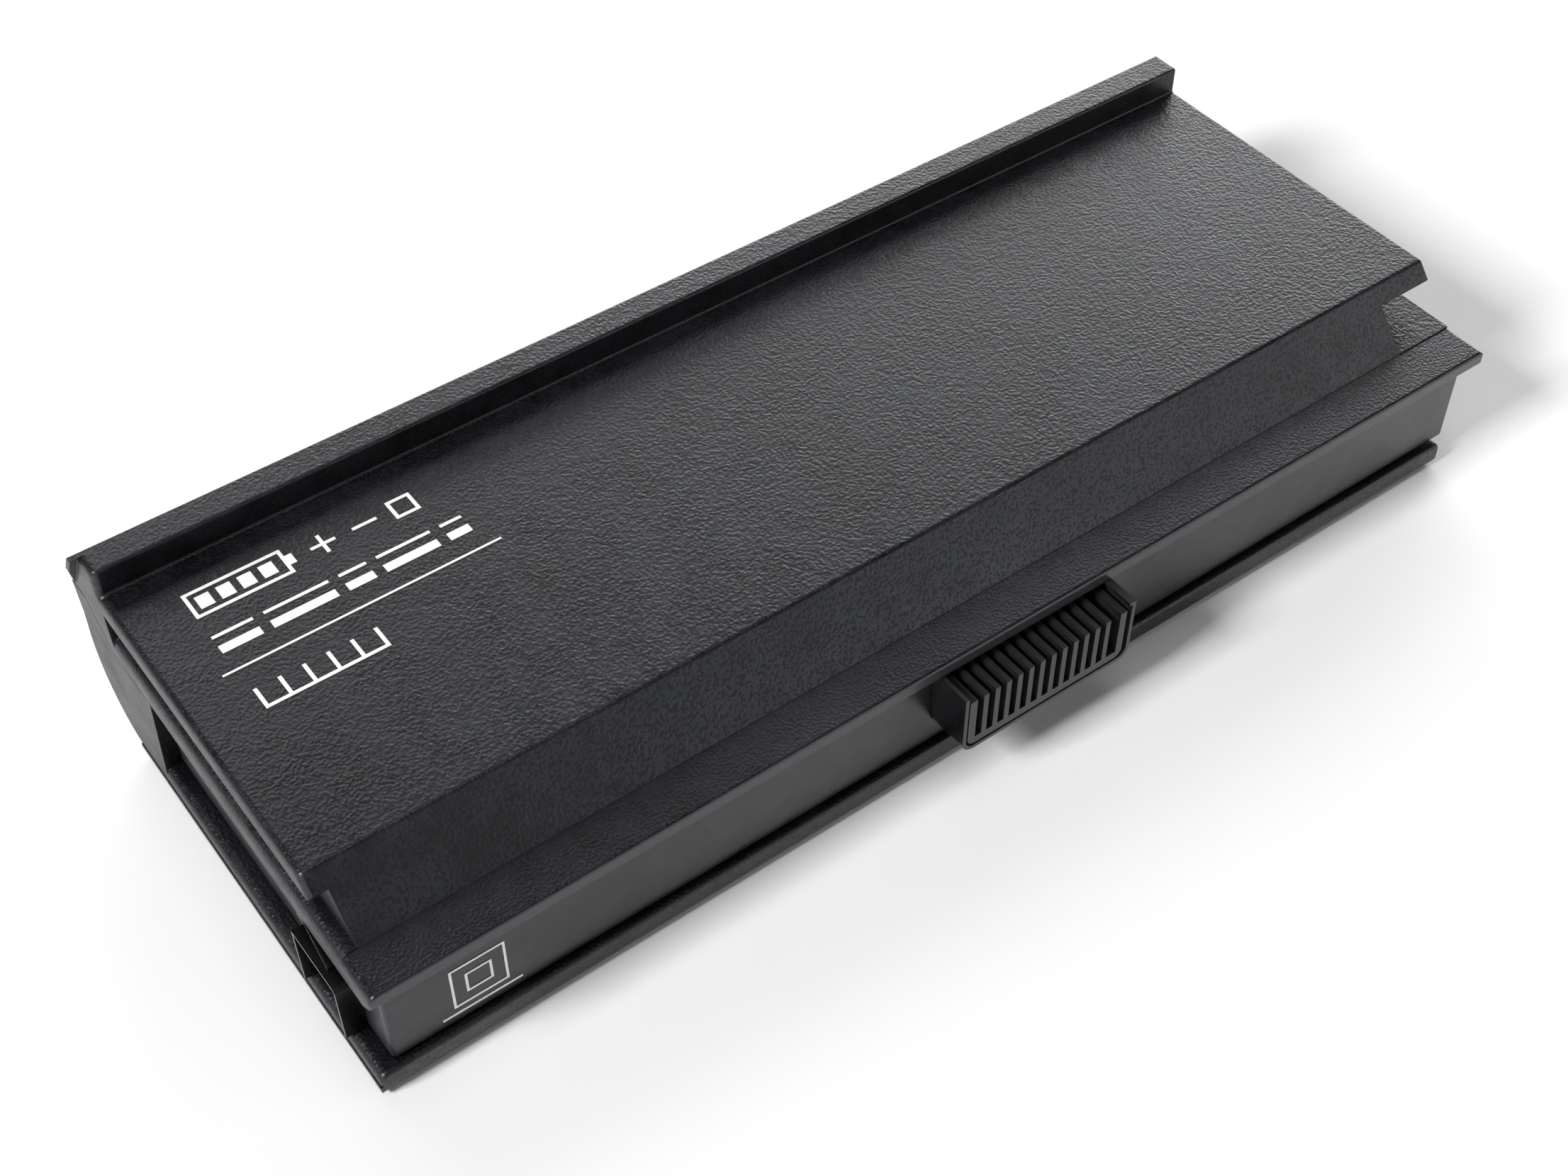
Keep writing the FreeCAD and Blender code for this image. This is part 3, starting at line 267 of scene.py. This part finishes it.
LOOKS = {
    "textured_plastic": moulded("textured_plastic", BLACK, (0.0115, 0.012, 0.0145), 1.0,
                                everywhere=True),
    "smooth_plastic": moulded("smooth_plastic", BLACK, (0.0125, 0.013, 0.0155), 0.8,
                              (0.26, 0.34), fine=0.7, band_foot=BAND_FOOT),
    "base_plastic": moulded("base_plastic", BLACK, (0.009, 0.0093, 0.011), 1.2, (0.28, 0.36)),
    "connector_plastic": moulded("connector_plastic", (0.002, 0.002, 0.0025),
                                 (0.004, 0.004, 0.005), 0.0, (0.22, 0.3), 0.03 * MM, 0.15,
                                 dusty=0.5),
    "contact_metal": metal("contact_metal", (0.04, 0.036, 0.03), (0.08, 0.07, 0.05), (0.35, 0.5)),
    "cell_can": metal("cell_can", (0.5, 0.5, 0.5), (0.65, 0.65, 0.64), (0.25, 0.4)),
    "nickel_strip": metal("nickel_strip", (0.55, 0.54, 0.5), (0.7, 0.69, 0.65), (0.3, 0.45)),
    "insulator": plain("insulator", (0.42, 0.36, 0.24), (0.55, 0.48, 0.34), (0.7, 0.9)),
    "paper_ring": plain("paper_ring", (0.7, 0.72, 0.74), (0.8, 0.82, 0.84), (0.8, 0.95)),
    "board_laminate": plain("board_laminate", (0.01, 0.1, 0.04), (0.015, 0.14, 0.06), (0.25, 0.4)),
    "chip_plastic": plain("chip_plastic", (0.02, 0.02, 0.02), (0.03, 0.03, 0.03), (0.5, 0.65)),
    "component_ceramic": plain("component_ceramic", (0.45, 0.34, 0.22), (0.55, 0.43, 0.3),
                               (0.4, 0.6)),
    "lead_red": plain("lead_red", (0.4, 0.02, 0.015), (0.5, 0.03, 0.02), (0.35, 0.5)),
    "lead_black": plain("lead_black", (0.02, 0.02, 0.02), (0.03, 0.03, 0.03), (0.35, 0.5)),
    "white_ink": plain("white_ink", (0.78, 0.78, 0.78), (0.86, 0.86, 0.86), (0.45, 0.6)),
}

# The latch pieces are smoother and blacker than the other pieces of their slots; the blacker tone
# is painted shade for the recess at the left end that holds them.
LATCH_PAINTED_SHADE_LOOK = moulded("latch_plastic_painted_shade", (0.0008, 0.0008, 0.001), (0.006, 0.006, 0.007), 0.0,
                     (0.2, 0.28), 0.05 * MM, 0.2)
LATCH_PIECES = ("latch_keeper", "latch_finger")

for entry in frame["record"]["subparts"]:
    mesh = frame["nodes"][entry["node"]].data
    mesh.materials.clear()
    is_latch = entry["node"] in LATCH_PIECES
    mesh.materials.append(LATCH_PAINTED_SHADE_LOOK if is_latch else LOOKS[entry["material_slot"]])

# ---------------------------------------------------------------- floor and surroundings

FLOOR_REACH = 4.0
FLOOR_GAP = 0.05 * MM                   # keeps the floor just clear of the resting face
FLOOR_TONES = (0.875, 0.875, 0.875), (0.895, 0.895, 0.895)
FLOOR_ROUGHNESS = (0.75, 0.85)
FLOOR_TONE_PER_M, FLOOR_GLOSS_PER_M = 8.0, 30.0
WORLD_STRENGTH = 0.004

corners = [(-FLOOR_REACH, -FLOOR_REACH, 0), (FLOOR_REACH, -FLOOR_REACH, 0),
           (FLOOR_REACH, FLOOR_REACH, 0), (-FLOOR_REACH, FLOOR_REACH, 0)]
floor_mesh = bpy.data.meshes.new("floor")
floor_mesh.from_pydata(corners, [], [(0, 1, 2, 3)])
floor = bpy.data.objects.new("floor", floor_mesh)
bpy.context.scene.collection.objects.link(floor)
floor.location.z = -FLOOR_GAP
paper = Nodes("floor_paper")
paper_gloss = paper.ramp(paper.noise(FLOOR_GLOSS_PER_M), *NOISE_SPAN, *FLOOR_ROUGHNESS)
paper.put(paper.shader, Base_Color=paper.mix(paper.noise(FLOOR_TONE_PER_M), *FLOOR_TONES),
          Roughness=paper_gloss)
floor_mesh.materials.append(paper.material)

world = bpy.data.worlds.new("studio")
bpy.context.scene.world = world
world.use_nodes = True
background = world.node_tree.nodes["Background"]
background.inputs["Color"].default_value = (1.0, 1.0, 1.0, 1.0)
background.inputs["Strength"].default_value = WORLD_STRENGTH

# ---------------------------------------------------------------- lights

# Watts set: one strong key from the left, two rims behind the right end for the grain
# on top, and weak fill elsewhere.
KEY, RIM = 29.0, 11.0
BACK_FILL, BACK_RIGHT_FILL = 4.1, 2.3
TOP_FILL, FACE_FILL, FRONT_FILL = 3.5, 1.0, 3.0

LOW, MIDDLE, OVERHEAD = 15, 38, 90      # elevations, degrees
LIGHT_DISTANCE = 1.6
LIGHT_AIM = Vector((0, 0, 0))
SOFTBOX_SIDE, KEY_SIDE = 0.75, 0.4


def direction(azimuth, elevation):
    """Unit vector away from the origin; azimuth 0 is to the front, 90 beyond the right end."""
    turn, rise = math.radians(azimuth), math.radians(elevation)
    return Vector((math.sin(turn) * math.cos(rise), -math.cos(turn) * math.cos(rise),
                   math.sin(rise)))


def softbox(name, azimuth, elevation, watts, side=SOFTBOX_SIDE):
    """Square light round the object."""
    lamp = bpy.data.lights.new(name, "AREA")
    lamp.shape = "RECTANGLE"
    lamp.size = lamp.size_y = side
    lamp.energy = watts
    holder = bpy.data.objects.new(name, lamp)
    bpy.context.scene.collection.objects.link(holder)
    holder.location = LIGHT_DISTANCE * direction(azimuth, elevation)
    holder.rotation_mode = "QUATERNION"
    holder.rotation_quaternion = (LIGHT_AIM - holder.location).to_track_quat("-Z", "Y")


softbox("key_left", 270, MIDDLE, KEY, KEY_SIDE)
softbox("top", 0, OVERHEAD, TOP_FILL)
softbox("front", 0, MIDDLE, FACE_FILL)
for azimuth in (120, 150):
    softbox("rim_%d" % azimuth, azimuth, LOW, RIM)
softbox("back", 180, MIDDLE, BACK_FILL)
softbox("back_right", 135, MIDDLE, BACK_RIGHT_FILL)
for azimuth in (30, 60, 300):
    softbox("front_fill_%d" % azimuth, azimuth, LOW, FRONT_FILL)

# ---------------------------------------------------------------- camera

CAMERA_PLACE = Vector((-0.1085, -0.139, 0.1893))
CAMERA_AZIMUTH, CAMERA_ELEVATION, CAMERA_ROLL = -36.54, 47.22, 0.04     # degrees
SENSOR_WIDTH, FOCAL_LENGTH = 36.0, 50.5                                 # millimetres
CLIP_START, CLIP_END = 0.01, 20.0

back = direction(CAMERA_AZIMUTH, CAMERA_ELEVATION)
right = Vector((0, 0, 1)).cross(back).normalized()
up = back.cross(right)
roll = math.radians(CAMERA_ROLL)
rolled_right = right * math.cos(roll) + up * math.sin(roll)
rolled_up = up * math.cos(roll) - right * math.sin(roll)
turned = Matrix((rolled_right, rolled_up, back)).transposed()

lens = bpy.data.cameras.new("camera")
lens.sensor_width = SENSOR_WIDTH
lens.lens = FOCAL_LENGTH
lens.clip_start = CLIP_START
lens.clip_end = CLIP_END
camera = bpy.data.objects.new("camera", lens)
bpy.context.scene.collection.objects.link(camera)
camera.matrix_world = Matrix.Translation(CAMERA_PLACE) @ turned.to_4x4()
bpy.context.scene.camera = camera
bpy.context.scene.view_settings.view_transform = "Standard"
